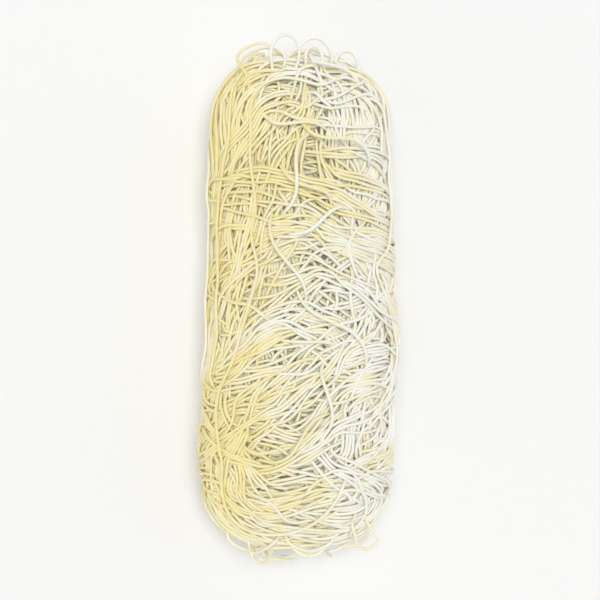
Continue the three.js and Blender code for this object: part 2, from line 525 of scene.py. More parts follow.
# From the heart outwards.
COURSES = (
    Course(Role.HEART_RING, Way.RING, 4, 9, 7.5, (4.0, 5.6), (0.1, 0.92)),
    Course(Role.INNER_FOLD, Way.FOLD, 5, 9, 8.0, (2.6, 4.2), (18, 32), (14, 30)),
    Course(Role.LOWER_RING, Way.RING, 4, 9, 7.5, (0.6, 3.0), (0.52, 0.84)),
    Course(Role.UPPER_RING, Way.RING, 6, 9, 7.0, (1.2, 3.0), (0.16, 0.52)),
    Course(Role.UNDER_FOLD, Way.FOLD, 5, 8, 7.5, (0.2, 2.2), (14, 27), (14, 30), face=Face.UNDERSIDE),
    Course(Role.SWEEP, Way.SWEEP, 7, 8, 6.5, (0.8, 2.2), length=(95, 135)),
    Course(Role.OUTER_FOLD, Way.FOLD, 5, 9, 7.0, (0.3, 1.8), (16, 34), (16, 34), span=(-1.0, 0.45)),
    Course(Role.CROSSING, Way.CROSS, 9, 9, 7.0, (0.1, 1.2), (0.5, 0.85), span=(-1.0, 0.6)),
    Course(Role.ROAMER, Way.ROAM, 8, 1, 0.0, (-0.1, 0.9), length=(60, 150), limit=(0.99, 1.01)),
    Course(Role.STRAY, Way.RING, 8, 1, 0.0, (-0.5, 0.5), (0.22, 0.66), limit=(1.0, 1.02)),
)

# Laid last, as they go where the others leave the sides of the core bare.
GAP_FILLERS = Course(Role.LOWER_RING, Way.RING, 2, 7, 7.0, (1.2, 3.4), (0.44, 0.64))

# The teardrop and the low loops that the solid block has too.
END_LOOPS = (
    EndLoop(-1, -0.42, 0.55, 4.0, 6.0, 1.5),
    EndLoop(-1, 0.3, 0.4, 1.6, 16.0, 2.0),
    EndLoop(-1, 0.05, 0.72, 0.6, 12.0, 1.0),
    EndLoop(1, 0.12, 0.6, 4.0, 9.0, 2.0),
    EndLoop(1, -0.35, 0.45, 2.2, 14.0, 1.5),
    EndLoop(1, 0.45, 0.3, 1.2, 11.0, 1.0),
)
# The arches that reach the block's top.
CROWN_ARCHES = (
    CrownArch(-4, 30, 1.1, 26),
    CrownArch(5, -6, 2.2, 30),
    CrownArch(-3, -34, 0.5, 24),
    CrownArch(-6, 8, 1.75, 28),
    CrownArch(6, 38, 2.6, 22),
    CrownArch(4, -24, 1.3, 27),
    CrownArch(2, 18, 0.25, 21),
)


@dataclass
class Guides:
    """Draws the guides of hanks, which are their middle lines in the plane that the skin unrolls to.

    Sizes that start with fold, sweep, cross or roam are for the guides of that way. A share of the
    half-width is counted from the end of the spine.
    """

    pad: Pad
    rng: np.random.Generator
    step: float
    own_part: Range = (0.2, 0.8)
    end_room: float = 0.95
    ring_laps: Range = (0.9, 1.15)
    single_laps: Range = (0.3, 0.7)
    ring_sway: Waves = (3.4, 55, 170)
    fold_end: float = 0.35
    fold_turns: Range = (1.5, 2.4)
    fold_growth: Waves = (1, 70, 180)
    fold_growth_share: float = 0.16
    fold_creep: float = 24.0
    fold_skew: float = 0.7
    fold_squeeze: float = 1.15
    sweep_bend: Range = (30, 90)
    sweep_ease: Range = (14, 24)
    sweep_turn: Range = (1.0, 1.7)
    sweep_back: Range = (0.0, 0.25)
    sweep_sway: Waves = (0.1, 40, 120)
    sweep_end: float = 1.1
    sweep_start: Range = (-6, 12)
    cross_part: Range = (0.1, 0.9)
    cross_end: float = 0.4
    cross_slant: float = 0.75
    cross_bow: float = 0.45
    cross_squeeze: float = 1.1
    roam_arc: float = 0.62
    roam_end: float = 1.2
    roam_bend: Waves = (0.035, 24, 90)
    roam_curl: float = 0.016
    roam_start: float = 0.9

    def draw(self, course: Course, index: int) -> Array:
        """Draws a guide.

        Args:
            course: The course that the hank belongs to.
            index: The hank's number in it.

        Returns:
            The points of the guide.
        """
        ways = {
            Way.RING: self.ring,
            Way.FOLD: self.fold,
            Way.SWEEP: self.sweep,
            Way.CROSS: self.cross,
            Way.ROAM: self.roam,
        }
        return ways[course.way](course, index)

    def spaced(self, room: Range, course: Course, index: int, part: Range) -> float:
        """Draws a value in the part of a range that belongs to one hank.

        Args:
            room: The range, which the course's hanks share out.
            course: The course.
            index: The hank's number in it.
            part: The stretch of the hank's own part that is used.

        Returns:
            The value.
        """
        low, high = room
        return low + (high - low) * (index + self.rng.uniform(*part)) / course.hanks

    def beyond_spine(self, share: float) -> float:
        """Gives the place on Y that lies a share of the half-width past the end of the spine."""
        return self.pad.spine_half + share * self.pad.half_width

    def squeezed(self, along: Array, squeeze: float) -> Array:
        """Draws the places on Y of a line together at the ends, so that the line stays on the pad."""
        limit = self.beyond_spine(self.end_room)
        return limit * np.tanh(squeeze * along / limit)

    def walk(self, heading: Array) -> Array:
        """Gives the points of a walk that takes one step in each heading."""
        return np.cumsum(np.stack([np.cos(heading), np.sin(heading)], -1) * self.step, axis=0)

    def ring(self, course: Course, index: int) -> Array:
        """Draws a line round the pad at about one arc from the crown's middle line.

        Args:
            course: The course that the hank belongs to.
            index: The hank's number in it.

        Returns:
            The points of the guide.
        """
        share = self.spaced(course.reach, course, index, self.own_part)
        laps = self.rng.uniform(*(self.ring_laps if course.noodles > 1 else self.single_laps))
        travel = self.rng.uniform() + np.arange(0, laps, self.step / self.pad.perimeter)
        spine, angle = self.pad.track(travel)
        sway = Drift.draw(self.rng, *self.ring_sway)(travel * self.pad.perimeter)
        reach = share * self.pad.half_girth + sway
        return np.stack([reach * np.cos(angle), spine + reach * np.sin(angle)], -1)

    def fold(self, course: Course, index: int) -> Array:
        """Draws a line of ovals that sweep across the pad and creep along it.

        Args:
            course: The course that the hank belongs to.
            index: The hank's number in it.

        Returns:
            The points of the guide.
        """
        rng = self.rng
        across, half = rng.uniform(*course.reach), rng.uniform(*course.length)
        turns = rng.uniform(*self.fold_turns)
        start = self.beyond_spine(self.fold_end) * self.spaced(course.span, course, index, self.own_part)
        per_turn = FULL_TURN * math.hypot(across, half) / math.sqrt(2)
        steps = np.arange(0, turns * FULL_TURN, FULL_TURN * self.step / per_turn)
        phase = rng.uniform(0, FULL_TURN) + rng.choice([-1, 1]) * steps
        number = np.arange(len(phase))
        grow = 1 + self.fold_growth_share * Drift.draw(rng, *self.fold_growth)(self.step * number)
        creep = self.fold_creep * rng.choice([-1, 1]) * turns * (number / len(phase) - 0.5)
        x = across * grow * np.cos(phase)
        skew = rng.uniform(-self.fold_skew, self.fold_skew)
        y = start + creep + half * grow * np.sin(phase) + skew * x
        return np.stack([x, self.squeezed(y, self.fold_squeeze)], -1)

    def sweep(self, course: Course, index: int) -> Array:
        """Draws a line from the ragged end down the crown that bends out over a side.

        Args:
            course: The course that the hank belongs to.
            index: The hank's number in it. It goes to one side if even and to the other if odd.

        Returns:
            The points of the guide.
        """
        rng = self.rng
        along = np.arange(0, rng.uniform(*course.length), self.step)
        bend_at = rng.uniform(*self.sweep_bend)
        turned = 0.5 + 0.5 * np.tanh((along - bend_at) / rng.uniform(*self.sweep_ease))
        way = 1 if index % 2 else -1
        turned = turned * rng.uniform(*self.sweep_turn) - rng.uniform(*self.sweep_back)
        heading = -math.pi / 2 + way * turned
        heading += Drift.draw(rng, *self.sweep_sway)(along)
        start = np.array([-way * rng.uniform(*self.sweep_start), self.beyond_spine(self.sweep_end)])
        return start + self.walk(heading)

    def cross(self, course: Course, index: int) -> Array:
        """Draws a bowed line up one side, over the crown at a slant and down the other side.

        Args:
            course: The course that the hank belongs to.
            index: The hank's number in it.

        Returns:
            The points of the guide.
        """
        rng = self.rng
        start = self.beyond_spine(self.cross_end) * self.spaced(course.span, course, index, self.cross_part)
        half = self.pad.half_girth * rng.uniform(*course.reach)
        slant = rng.uniform(-self.cross_slant, self.cross_slant)
        share = np.linspace(-1, 1, round(2 * half / self.step))
        bow = rng.uniform(-self.cross_bow, self.cross_bow) * half * (share**2 - 1 / 3)
        x, y = half * share * math.cos(slant), start + half * share * math.sin(slant) + bow
        return np.stack([x, self.squeezed(y, self.cross_squeeze)], -1)[::rng.choice([-1, 1])]

    def roam(self, course: Course, index: int) -> Array:
        """Draws a line that wanders over the pad and turns as it goes.

        Args:
            course: The course that the noodle belongs to.
            index: The noodle's number in it, which makes no difference here.

        Returns:
            The points of the guide.
        """
        rng = self.rng
        limits = np.array([self.roam_arc * self.pad.half_girth, self.beyond_spine(self.roam_end)])
        along = np.arange(0, rng.uniform(*course.length), self.step)
        bend = Drift.draw(rng, *self.roam_bend)(along) + rng.normal(0, self.roam_curl)
        heading = rng.uniform(0, FULL_TURN) + np.cumsum(bend) * self.step
        start = self.roam_start * limits * rng.uniform(-1, 1, 2)
        return limits * np.tanh((start + self.walk(heading)) / limits)


@dataclass
class Loose:
    """Draws the noodles that stand off the pad: loops at its ends, arches over its crown and wisps."""

    pad: Pad
    rng: np.random.Generator
    spacing: float
    fairing: int = 10
    root_share: float = 0.8
    root_length: float = 7.0
    more_loops: int = 8
    loop_root: float = 0.72
    loop_room: float = 0.78
    loop_spreads: Range = (5, 13)
    loop_heights: Range = (0.18, 0.85)
    loop_reach: float = 3.6
    loop_shortness: float = 1.5
    loop_rise: float = 3.0
    more_arches: int = 4
    arch_spans: Range = (18, 34)
    arch_sides: float = 17.0
    arch_ends: float = 46.0
    arch_tops: Range = (0.8, 2.2)
    arch_drop: float = 8.0
    arch_points: int = 40
    arch_fullness: float = 0.6
    arch_sway: float = 0.1
    wisp_side: float = 0.7
    wisp_heights: Range = (0.25, 0.95)
    wisp_top: float = 0.94
    wisp_reach: Range = (0.8, 3.6)
    wisp_lengths: Range = (5, 12)
    wisp_flatness: float = 0.6
    wisp_curl: Range = (0.25, 0.7)
    wisp_room: float = 0.75
    wisp_ease: float = 0.1
    end_gap: float = 0.5
    edge_gap: float = 1.2

    def rooted(self, line: Array, roots: int) -> Array:
        """Fairs a loose noodle and draws its roots into the pad, so that no cut end lies on the skin.

        Args:
            line: The noodle's line. It starts at a root.
            roots: 1 where its far end is loose, and 2 where that is a root too.

        Returns:
            The points of the new line.
        """
        line = faired(resampled(line, self.spacing), self.fairing)
        along = distances(line)
        if roots > 1:
            along = np.minimum(along, along[-1] - along)
        share = self.pad.share(line)
        wanted = np.minimum(share, self.root_share + (1 - self.root_share) * along / self.root_length)
        scale = np.where(along < self.root_length, wanted / np.maximum(share, TINY), 1)
        middle = self.pad.middle(line)
        return middle + (line - middle) * scale[:, None]

    def small_loops(self) -> list[EndLoop]:
        """Draws the small loops that stand off both ends.

        Returns:
            The loops.
        """
        rng = self.rng
        loops = []
        for end in (-1, 1):
            for _ in range(self.more_loops):
                spread = rng.uniform(*self.loop_spreads)
                room = self.loop_room - spread / 2 / self.pad.half_width
                loops.append(EndLoop(
                    end,
                    side=room * rng.uniform(-1, 1),
                    height=rng.uniform(*self.loop_heights),
                    reach=self.loop_reach * rng.uniform() ** self.loop_shortness,
                    spread=spread * rng.choice([-1, 1]),
                    rise=rng.uniform(-self.loop_rise, self.loop_rise),
                ))
        return loops

    def low_arches(self) -> list[CrownArch]:
        """Draws the low arches between the high ones.

        Returns:
            The arches.
        """
        rng = self.rng
        arches = []
        for _ in range(self.more_arches):
            turn, span = rng.uniform(0, math.pi), rng.uniform(*self.arch_spans)
            room = max(0, self.arch_sides - span / 2 * abs(math.cos(turn)))
            x, y = room * rng.uniform(-1, 1), rng.uniform(-self.arch_ends, self.arch_ends)
            arches.append(CrownArch(x, y, turn, span, rng.uniform(*self.arch_tops)))
        return arches

    def loop_line(self, loop: EndLoop) -> Array:
        """Gives the line of a loop at an end.

        Args:
            loop: The loop.

        Returns:
            The points of the line.
        """
        pad = self.pad
        root = pad.spine_half + self.loop_root * pad.half_width
        tip = pad.length / 2 - NOODLE_DIAMETER / 2 - (pad.loop_reach - loop.reach)
        middle = 0.45 * root + 0.55 * tip
        wide = abs(loop.spread)
        # Each corner has its share of the spread, its place along the block and its share of the rise.
        corners = np.array([
            (-0.35, root - 4, -0.3),
            (-0.45, root + 1, 0),
            (-0.5, middle, 0.6),
            (-0.28, tip - 0.12 * wide, 1),
            (0.02, tip, 1),
            (0.3, tip - 0.14 * wide, 0.8),
            (0.5, middle, 0.4),
            (0.4, root + 1, -0.2),
            (0.25, root - 4, -0.5),
        ])
        base = np.array([loop.side * pad.half_width, 0, loop.height * pad.body_height])
        return smooth_curve(base + corners * np.array([loop.spread, loop.end, loop.rise]))

    def arch_line(self, arch: CrownArch) -> Array:
        """Gives the line of an arch over the crown.

        Args:
            arch: The arch.

        Returns:
            The points of the line.
        """
        t = np.linspace(-0.5, 0.5, self.arch_points)
        bow = (1 - (2 * t) ** 2) ** self.arch_fullness
        sway = self.arch_sway * arch.span * np.sin(FULL_TURN * t)
        x = arch.x + arch.span * t * math.cos(arch.turn) - sway * math.sin(arch.turn)
        y = arch.y + arch.span * t * math.sin(arch.turn) + sway * math.cos(arch.turn)
        top = self.pad.height - NOODLE_DIAMETER / 2 - arch.top
        return np.stack([x, y, top - self.arch_drop * (1 - bow)], -1)

    def wisp_line(self, end: int) -> Array:
        """Draws the line of a loose end that leaves an end of the block and curls over its face.

        Args:
            end: -1 or 1, for the end at -Y or at +Y.

        Returns:
            The points of the line.
        """
        rng, pad = self.rng, self.pad
        side, height = self.wisp_side * rng.uniform(-1, 1), rng.uniform(*self.wisp_heights)
        x, z = side * pad.half_width, height * self.wisp_top * pad.body_height
        face = pad.end_face(x, z, end)
        reach = min(rng.uniform(*self.wisp_reach), pad.length / 2 - self.end_gap - face)
        heading = rng.uniform(0, FULL_TURN)
        flattened = np.array([math.cos(heading), self.wisp_flatness * math.sin(heading)])
        run = rng.uniform(*self.wisp_lengths) * flattened
        if abs(x + run[0]) > self.wisp_room * pad.half_width:
            run[0] *= -1
        curl = rng.choice([-1, 1]) * rng.uniform(*self.wisp_curl) * np.array([-run[1], run[0]])
        # Each corner has its share of the run, how far it is off the face, and its share of the curl.
        corners = (
            (-1.3, -11, 0),
            (-0.7, -5, 0),
            (-0.3, -1.5, 0),
            (0, 0.45 * reach, 0),
            (0.45, 0.85 * reach, 0.35),
            (0.9, reach, 1),
        )
        line = np.array([
            (x + run[0] * go + curl[0] * bow, end * (face + off), z + run[1] * go + curl[1] * bow)
            for go, off, bow in corners
        ])
        line[:, 2] = np.clip(line[:, 2], self.edge_gap, pad.height - self.edge_gap)
        room = (self.wisp_room + self.wisp_ease) * pad.half_width
        line[:, 0] = room * np.tanh(line[:, 0] / room)
        return smooth_curve(line)


@dataclass
class Lay:
    """Lays all the noodles of the block, course by course.

    A hank swings up and down between its course's depths, and fans out and in. Its noodles share its
    crimp, and each has a sway, a tremble and a dive of its own. Their ends are trimmed unevenly and
    tucked in.
    """

    pad: Pad
    seed: int = 11
    spacing: float = 0.75
    step: float = 1.5
    tries: int = 16
    cell: float = 4.0
    warp_waves: Waves = (2.4, 30, 75)
    ripple_waves: Waves = (0.3, 13, 26)
    ripples: int = 9
    swing: Waves = (0.34, 40, 110)
    fan: Waves = (1, 50, 140)
    fan_share: float = 0.3
    crimp: Waves = (0.15, 10, 24)
    crimp_delay: float = 0.9
    sway: Waves = (1.0, 28, 90)
    tremble: Waves = (0.08, 8, 16)
    dive: Waves = (0.4, 22, 70)
    own_depth: float = 0.4
    lane_part: Range = (0.1, 0.9)
    trim: float = 26.0
    trim_share: float = 0.18
    tuck: float = 2.6
    tuck_length: float = 5.0
    mood: Spread = (0, 0.16)
    tone: Spread = (0.35, 0.2)
    girth: Spread = (1.04, 0.05)
    girths: Range = (0.9, 1.15)
    limit_spread: Spread = (0, 0.006)
    loose_limit: float = 2.0
    wisps: tuple[int, int] = (7, 15)
    strands: list[Strand] = field(default_factory=list)

    def __post_init__(self) -> None:
        """Draws what all the noodles share, and clears the map of how full each cell of the block is."""
        self.rng = np.random.default_rng(self.seed)
        self.warp = Warp.draw(self.rng, *self.warp_waves)
        self.ripple = Warp.draw(self.rng, *self.ripple_waves, self.ripples)
        self.low = np.array([-self.pad.width / 2, -self.pad.length / 2, 0]) - self.cell
        size = np.array([self.pad.width, self.pad.length, self.pad.height]) + 2 * self.cell
        self.load = np.zeros(np.ceil(size / self.cell).astype(int))
        self.guides = Guides(self.pad, self.rng, self.step)

    def run(self) -> list[Strand]:
        """Lays every course, from the heart outwards, then the loose noodles and the gap fillers.

        Returns:
            All the noodles.
        """
        for course in COURSES:
            self.hanks(course)
        loose = Loose(self.pad, self.rng, self.spacing)
        for loop in (*END_LOOPS, *loose.small_loops()):
            self.add(loose.rooted(loose.loop_line(loop), 2), Role.LOOP, limit=self.loose_limit)
        for arch in (*CROWN_ARCHES, *loose.low_arches()):
            self.add(loose.arch_line(arch), Role.ARCH, limit=self.loose_limit)
        for end, count in zip((-1, 1), self.wisps):
            for _ in range(count):
                self.add(loose.rooted(loose.wisp_line(end), 1), Role.WISP, limit=self.loose_limit)
        self.hanks(GAP_FILLERS)
        total = sum(distances(strand.path)[-1] for strand in self.strands)
        LOG.info("%d noodles, %.1f m", len(self.strands), total * MM)
        return self.strands

    def cells(self, points: Array) -> tuple[Array, Array, Array]:
        """Gives the cell of the map that each point lies in."""
        last = np.array(self.load.shape) - 1
        return tuple(np.clip((points - self.low) / self.cell, 0, last).astype(int).T)

    def crowding(self, course: Course, guide: Array) -> float:
        """Gives how full the cells are that a hank would pass.

        Args:
            course: The course that the hank belongs to.
            guide: The hank's middle line in the unrolled plane.

        Returns:
            The mean of the squares of their loads.
        """
        depth = np.full(len(guide), sum(course.depth) / 2)
        path = self.pad.place(guide + self.warp(guide), depth, course.face)
        return float((self.load[self.cells(path)] ** 2).mean())

    def add(self, path: Array, role: Role, mood: float = 0.0, limit: float = 1.0) -> None:
        """Adds a noodle with its own tone and thickness, and marks the cells that it passes.

        Args:
            path: The points of its line.
            role: What it does.
            mood: How much warmer than usual its hank is.
            limit: How far out it may lie, as a share.
        """
        mean, spread = self.tone
        tone = float(np.clip(self.rng.normal(mean + mood, spread), 0, 1))
        girth = float(np.clip(self.rng.normal(*self.girth), *self.girths))
        line = resampled(path, self.spacing)
        np.add.at(self.load, self.cells(line), 1)
        self.strands.append(Strand(line, role, tone, girth, limit))

    def hanks(self, course: Course) -> None:
        """Lays the hanks of a course, each where the fewest noodles lie so far.

        Args:
            course: The course.
        """
        for index in range(course.hanks):
            drawn = [self.guides.draw(course, index) for _ in range(self.tries)]
            self.hank(course, min(drawn, key=lambda guide: self.crowding(course, guide)))

    def hank(self, course: Course, guide: Array) -> None:
        """Lays a hank: noodles side by side that follow one guide and braid a little.

        Args:
            course: The course that the hank belongs to.
            guide: The hank's middle line in the unrolled plane.
        """
        rng = self.rng
        along = distances(guide)
        tangent = np.gradient(guide, axis=0)
        tangent /= np.maximum(np.linalg.norm(tangent, axis=1, keepdims=True), TINY)
        side = np.stack([-tangent[:, 1], tangent[:, 0]], -1)
        shallow, deep = course.depth
        swing = np.clip(0.5 + Drift.draw(rng, *self.swing)(along), 0, 1)
        depth = shallow + (deep - shallow) * swing
        spread = 1 + self.fan_share * Drift.draw(rng, *self.fan)(along)
        crimp = Drift.draw(rng, *self.crimp)
        mood = rng.normal(*self.mood)
        limit = rng.uniform(*course.limit)
        trim = min(self.trim, self.trim_share * along[-1]) if course.noodles > 1 else 0
        for k in range(course.noodles):
            lane = course.width * ((k + rng.uniform(*self.lane_part)) / course.noodles - 0.5)
            sway = lane * spread + Drift.draw(rng, *self.sway)(along)
            sway = sway + crimp(along + self.crimp_delay * lane)
            sway += Drift.draw(rng, *self.tremble)(along)
            first, last = (int(rng.uniform(0, trim) / self.step) for _ in range(2))
            kept = slice(first, len(guide) - last)
            nearest_end = np.minimum(along[kept] - along[kept][0], along[kept][-1] - along[kept])
            sink = depth + rng.uniform(-self.own_depth, self.own_depth)
            sink = sink + Drift.draw(rng, *self.dive)(along)
            sink = np.maximum(sink[kept], shallow) + self.tuck * np.exp(-nearest_end / self.tuck_length)
            plane = guide[kept] + side[kept] * sway[kept, None]
            plane = plane + self.warp(plane) + self.ripple(plane)
            path = self.pad.place(plane, sink, course.face)
            self.add(path, course.role, mood, limit + rng.normal(*self.limit_spread))


@dataclass
class Settling:
    """Pushes the noodles apart until they lie on each other, as they do when they dry together."""

    pad: Pad
    strands: list[Strand]
    contact: float = 0.82
    margin: float = 0.3
    segment_half: float = 0.4
    least_cross: float = 0.05
    cross_push: float = 2.0
    rounds: int = 126
    quick_rounds: int = 40
    rebuild: int = 6
    thinnings: tuple[int, ...] = (48, 84)
    thinned: int = 32
    clear: float = 0.6
    passes: int = 8
    spring: float = 0.55
    pull: float = 0.25
    ease: float = 0.15
    slack: float = 0.04
    own_reach: int = 4
    emptiest: float = 0.725
    unevenness: Waves = (0.014, 14, 45)
    seed: int = 5

    def __post_init__(self) -> None:
        """Joins the noodles' points in one array and notes how each bends and how far out it may lie."""
        self.points = np.concatenate([strand.path for strand in self.strands])
        self.link(np.array([len(strand.path) for strand in self.strands]))
        self.curl = self.bend()
        self.rest = np.linalg.norm(self.points[self.after] - self.points, axis=1)
        dip = Warp.draw(np.random.default_rng(self.seed), *self.unevenness, room=3)
        limits = np.array([strand.limit for strand in self.strands])
        self.limit = limits[self.owner] + dip(self.points)[:, 0]

    def link(self, counts: Array) -> None:
        """Notes which noodle each point is on, and its neighbours along that noodle.

        Args:
            counts: How many points each noodle has.
        """
        self.counts, self.ends = counts, np.cumsum(counts)
        self.owner = np.repeat(np.arange(len(counts)), counts)
        index = np.arange(len(self.owner))
        self.before, self.after = index - 1, index + 1
        firsts = self.ends - counts
        self.before[firsts] = firsts
        self.after[self.ends - 1] = self.ends - 1

    def thin(self) -> None:
        """Takes out the noodles of the hanks that lie the deepest in others, one after another."""
        first, second = pairs = self.close_pairs()
        gap, _ = self.gaps(pairs, self.tangents())
        overlap = self.clear - np.sqrt(np.einsum("ij,ij->i", gap, gap))
        deep = overlap > 0
        first, second, overlap = self.owner[first[deep]], self.owner[second[deep]], overlap[deep]
        in_hank = np.array([strand.role not in LOOSE for strand in self.strands])
        stays = np.ones(len(self.strands), bool)
        for _ in range(self.thinned):
            load = np.bincount(first, overlap, len(stays)) + np.bincount(second, overlap, len(stays))
            worst = int(np.argmax(in_hank * load / self.counts))
            stays[worst] = False
            others = (first != worst) & (second != worst)
            first, second, overlap = first[others], second[others], overlap[others]
        held = stays[self.owner]
        self.points, self.curl, self.rest, self.limit = (
            values[held] for values in (self.points, self.curl, self.rest, self.limit)
        )
        self.strands = [strand for strand, stay in zip(self.strands, stays) if stay]
        self.link(self.counts[stays])

    def bend(self) -> Array:
        """Gives how far each point lies off the middle of its neighbours."""
        return self.points - (self.points[self.before] + self.points[self.after]) / 2

    def close_pairs(self) -> tuple[Array, Array]:
        """Finds the pairs of points that are near each other, with a grid of cells.

        Returns:
            The indices of the first and the second point of each pair.
        """
        reach = self.contact + self.margin
        cells = np.floor((self.points - self.points.min(0)) / reach).astype(np.int64) + 1
        shape = cells.max(0) + 2
        strides = np.array([shape[1] * shape[2], shape[2], 1])
        keys = cells @ strides
        order = np.argsort(keys, kind="stable")
        ranked = keys[order]
        ranks = np.arange(len(ranked))
        firsts, seconds = [], []
        for offset in NEAR_CELLS:
            wanted = ranked + int(np.dot(offset, strides))
            start = np.searchsorted(ranked, wanted, "left") if any(offset) else ranks + 1
            count = np.maximum(np.searchsorted(ranked, wanted, "right") - start, 0)
            first = np.repeat(ranks, count)
            second = np.arange(count.sum()) + np.repeat(start - (np.cumsum(count) - count), count)
            a, b = order[first], order[second]
            gap = self.points[a] - self.points[b]
            near = (np.einsum("ij,ij->i", gap, gap) < reach**2) & (np.abs(a - b) > self.own_reach)
            firsts.append(a[near])
            seconds.append(b[near])
        return np.concatenate(firsts), np.concatenate(seconds)

    def tangents(self) -> Array:
        """Gives the direction of the noodle at each point."""
        ways = self.points[self.after] - self.points[self.before]
        return ways / np.maximum(np.linalg.norm(ways, axis=1, keepdims=True), TINY)

    def gaps(self, pairs: tuple[Array, Array], ways: Array) -> tuple[Array, Array]:
        """Measures the shortest gap between the short straight stretches round the points of each pair.

        Args:
            pairs: The indices of the points.
            ways: The direction of the noodle at each point.

        Returns:
            The gap from the second stretch to the first, and how squarely the two cross, from 0 to 1.
        """
        first, second = pairs
        gap = self.points[first] - self.points[second]
        way, other = ways[first], ways[second]
        ahead, behind = np.einsum("ij,ij->i", gap, way), np.einsum("ij,ij->i", gap, other)
        along = np.einsum("ij,ij->i", way, other)
        cross = 1 - along**2
        half = self.segment_half
        shift = np.clip((along * behind - ahead) / np.maximum(cross, self.least_cross), -half, half)
        other_shift = np.clip(behind + shift * along, -half, half)
        shift = np.clip(other_shift * along - ahead, -half, half)
        return gap + shift[:, None] * way - other_shift[:, None] * other, cross

    def pushes(self, pairs: tuple[Array, Array], ways: Array) -> tuple[Array, Array]:
        """Works out how the noodles push each other.

        Args:
            pairs: The indices of the points that are near each other.
            ways: The direction of the noodle at each point.

        Returns:
            How far each point is pushed by the noodles that it overlaps, and the overlaps.
        """
        first, second = pairs
        gap, cross = self.gaps(pairs, ways)
        distance = np.sqrt(np.einsum("ij,ij->i", gap, gap))
        touching = distance < self.contact
        first, second, gap, distance = first[touching], second[touching], gap[touching], distance[touching]
        force = 0.5 * (1 + self.cross_push * cross[touching]) * (self.contact - distance)
        gap *= (force / np.maximum(distance, TINY))[:, None]
        size = len(self.points)
        push = np.stack([
            np.bincount(first, gap[:, k], size) - np.bincount(second, gap[:, k], size) for k in range(3)
        ], -1)
        crowd = np.bincount(first, minlength=size) + np.bincount(second, minlength=size)
        return push / np.sqrt(np.maximum(crowd, 1))[:, None], self.contact - distance

    def smoothed(self, moves: Array) -> Array:
        """Spreads each move to the neighbours along the noodle, as a stiff noodle bends as a whole.

        Args:
            moves: How far each point is to move.

        Returns:
            The moves, spread.
        """
        for _ in range(self.passes):
            moves = (moves[self.before] + 2 * moves + moves[self.after]) / 4
        return moves

    def keep_length(self) -> None:
        """Pulls the points of each noodle back to their distances."""
        gap = self.points[self.after] - self.points
        length = np.linalg.norm(gap, axis=1)
        slack = self.pull * gap * ((length - self.rest) / np.maximum(length, TINY))[:, None]
        self.points += slack
        self.points[self.after] -= slack

    def run(self) -> list[Strand]:
        """Settles the noodles.

        Returns:
            The noodles, each with its new line.
        """
        overlap = np.zeros(1)
        for turn in range(self.rounds):
            if turn in self.thinnings:
                self.thin()
            if turn % self.rebuild == 0:
                pairs = self.close_pairs()
            if turn % 2 == 0:
                ways = self.tangents()
            push, overlap = self.pushes(pairs, ways)
            self.points += self.smoothed(push)
            self.points += self.spring * (self.curl - self.bend())
            self.keep_length()
            self.points += self.ease * (self.pad.hold(self.points, self.limit, self.emptiest) - self.points)
        self.points = self.pad.hold(self.points, self.limit + self.slack, self.emptiest)
        starts = np.concatenate([[0], self.ends[:-1]])
        for strand, start, end in zip(self.strands, starts, self.ends):
            strand.path = self.points[start:end]
        LOG.info("settled %d noodles, overlap mean %.3f, worst twentieth over %.3f mm",
                 len(self.strands), overlap.mean(), np.quantile(overlap, 0.95))
        return self.strands


def placed(name: str, data: bpy.types.ID) -> bpy.types.Object:
    """Makes an object of a mesh, a light or a camera.

    Args:
        name: The object's name.
        data: What the object shows.

    Returns:
        The object, which is in the scene.
    """
    made = bpy.data.objects.new(name, data)
    bpy.context.scene.collection.objects.link(made)
    return made


def new_material(name: str) -> tuple[bpy.types.Material, bpy.types.Node]:
    """Makes a material.

    Args:
        name: The material's name.

    Returns:
        The material and its main shader.
    """
    material = bpy.data.materials.new(name)
    material.use_nodes = True
    return material, material.node_tree.nodes["Principled BSDF"]


